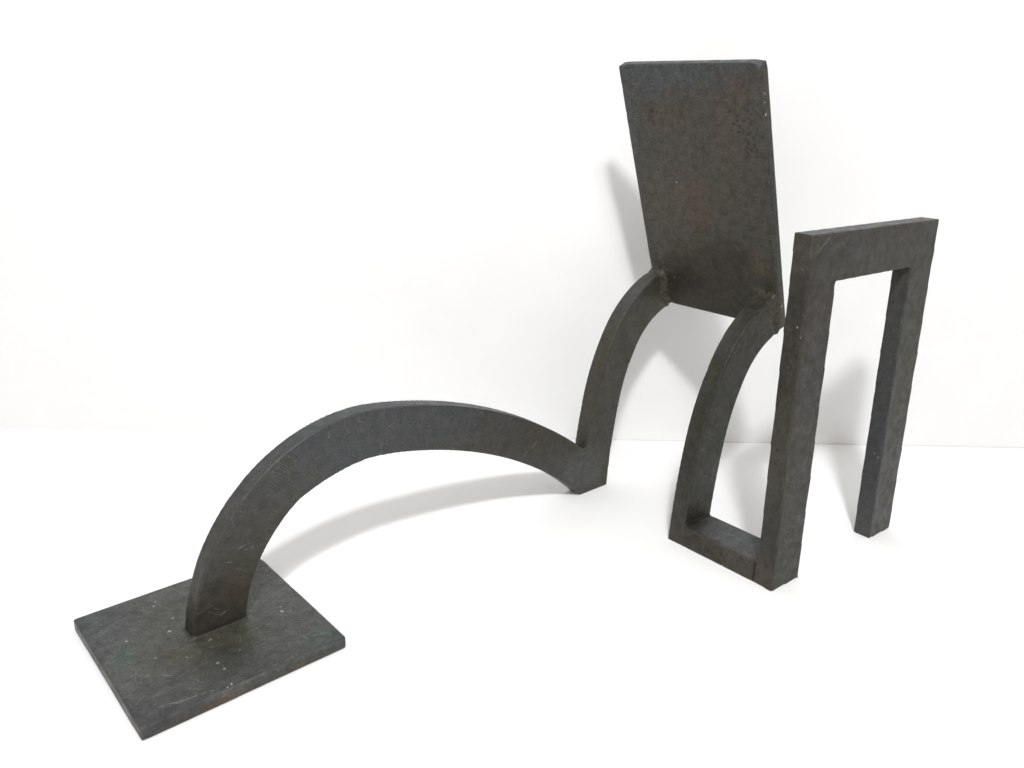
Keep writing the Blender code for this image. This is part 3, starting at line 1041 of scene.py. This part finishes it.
def paper(name, tone, see_through_back):
    """Matt white card. The wall's back is left out of the picture, so the object shows."""
    graph = Graph(name)
    fibre = graph.ramp(graph.clouds(30, 5), 0.3, 0.7, tone * 0.985, tone)
    shade = graph.node("ShaderNodeCombineColor", {0: fibre, 1: fibre, 2: fibre})
    graph.feed(graph.shader.inputs["Base Color"], shade.outputs["Color"])
    graph.feed(graph.shader.inputs["Roughness"], 0.9)
    graph.feed(graph.shader.inputs["Specular IOR Level"], 0.1)
    if see_through_back:
        back = graph.node("ShaderNodeNewGeometry", {}).outputs["Backfacing"]
        clear = graph.node("ShaderNodeBsdfTransparent", {}).outputs["BSDF"]
        inputs = {0: back, 1: graph.shader.outputs["BSDF"], 2: clear}
        mix = graph.node("ShaderNodeMixShader", inputs)
        output = graph.tree.nodes["Material Output"]
        graph.feed(output.inputs["Surface"], mix.outputs["Shader"])
    return graph.material


def sheet(name, corners, material):
    """One flat board of the stage."""
    mesh = bpy.data.meshes.new(name)
    mesh.from_pydata(corners, [], [(0, 1, 2, 3)])
    mesh.materials.append(material)
    board = bpy.data.objects.new(name, mesh)
    bpy.context.scene.collection.objects.link(board)


def add_stage():
    """A floor, and a wall that stands just behind the panel and faces the camera."""
    foot = WALL_NORMAL * WALL_DISTANCE
    along = Vector((0, 0, 1)).cross(WALL_NORMAL) * STAGE_SIZE
    up = Vector((0, 0, STAGE_SIZE))
    near = -WALL_NORMAL * STAGE_SIZE
    floor = [foot - along + near, foot - along - near, foot + along - near, foot + along + near]
    wall = [foot - along, foot - along + up, foot + along + up, foot + along]
    sheet("floor", floor[::-1], paper("floor_card", FLOOR_TONE, False))
    sheet("wall", wall, paper("wall_card", WALL_TONE, True))
    end = foot + along * LIP_END
    lip = [foot - along + near * LIP, foot - along + up * LIP, end + up * LIP, end + near * LIP]
    sheet("wall_foot", lip, paper("shadow_card", LIP_TONE, True))


def add_lamps():
    """Two small studio lamps."""
    for name, place, watts, width in LAMPS:
        light = bpy.data.lights.new(name, "AREA")
        light.shape = "DISK"
        light.energy = watts
        light.color = LAMP_COLOUR
        light.size = width
        lamp = bpy.data.objects.new(name, light)
        lamp.location = place
        aim = Vector(LAMP_AIM) - Vector(place)
        lamp.rotation_euler = aim.to_track_quat("-Z", "Y").to_euler()
        bpy.context.scene.collection.objects.link(lamp)


def add_sky():
    """Soft light from all round, brightest from above the camera."""
    world = bpy.data.worlds.new("studio")
    bpy.context.scene.world = world
    world.use_nodes = True
    tree = world.node_tree
    place = tree.nodes.new("ShaderNodeTexCoord")
    along = tree.nodes.new("ShaderNodeVectorMath")
    along.operation = "DOT_PRODUCT"
    along.inputs[1].default_value = Vector(SKY_SIDE).normalized()
    strength = tree.nodes.new("ShaderNodeMapRange")
    strength.inputs["From Min"].default_value = SKY_DIM_END
    strength.inputs["To Min"].default_value = SKY_DIM
    strength.inputs["To Max"].default_value = SKY_BRIGHT
    background = tree.nodes["Background"]
    background.inputs["Color"].default_value = (*SKY_COLOUR, 1)
    tree.links.new(place.outputs["Generated"], along.inputs[0])
    tree.links.new(along.outputs["Value"], strength.inputs["Value"])
    tree.links.new(strength.outputs["Result"], background.inputs["Strength"])


def add_camera():
    """A camera at the photo's viewing angle."""
    lens = bpy.data.cameras.new("camera")
    lens.lens = CAMERA_LENS
    lens.shift_x, lens.shift_y = CAMERA_SHIFT
    camera = bpy.data.objects.new("camera", lens)
    camera.location = CAMERA_PLACE
    tilt = Euler((math.radians(90 - CAMERA_PITCH), 0, 0)).to_matrix()
    turn = Euler((0, 0, -math.radians(CAMERA_YAW))).to_matrix()
    roll = Euler((0, 0, math.radians(CAMERA_ROLL))).to_matrix()
    camera.rotation_euler = (turn @ tilt @ roll).to_euler()
    bpy.context.scene.collection.objects.link(camera)
    bpy.context.scene.camera = camera


# ---------------------------------------------------------------- build

skin = build_skin()
shape_skin(skin)
dress(share_out(skin))
bpy.data.meshes.remove(skin)
add_stage()
add_lamps()
add_sky()
add_camera()
bpy.context.scene.view_settings.view_transform = "Standard"
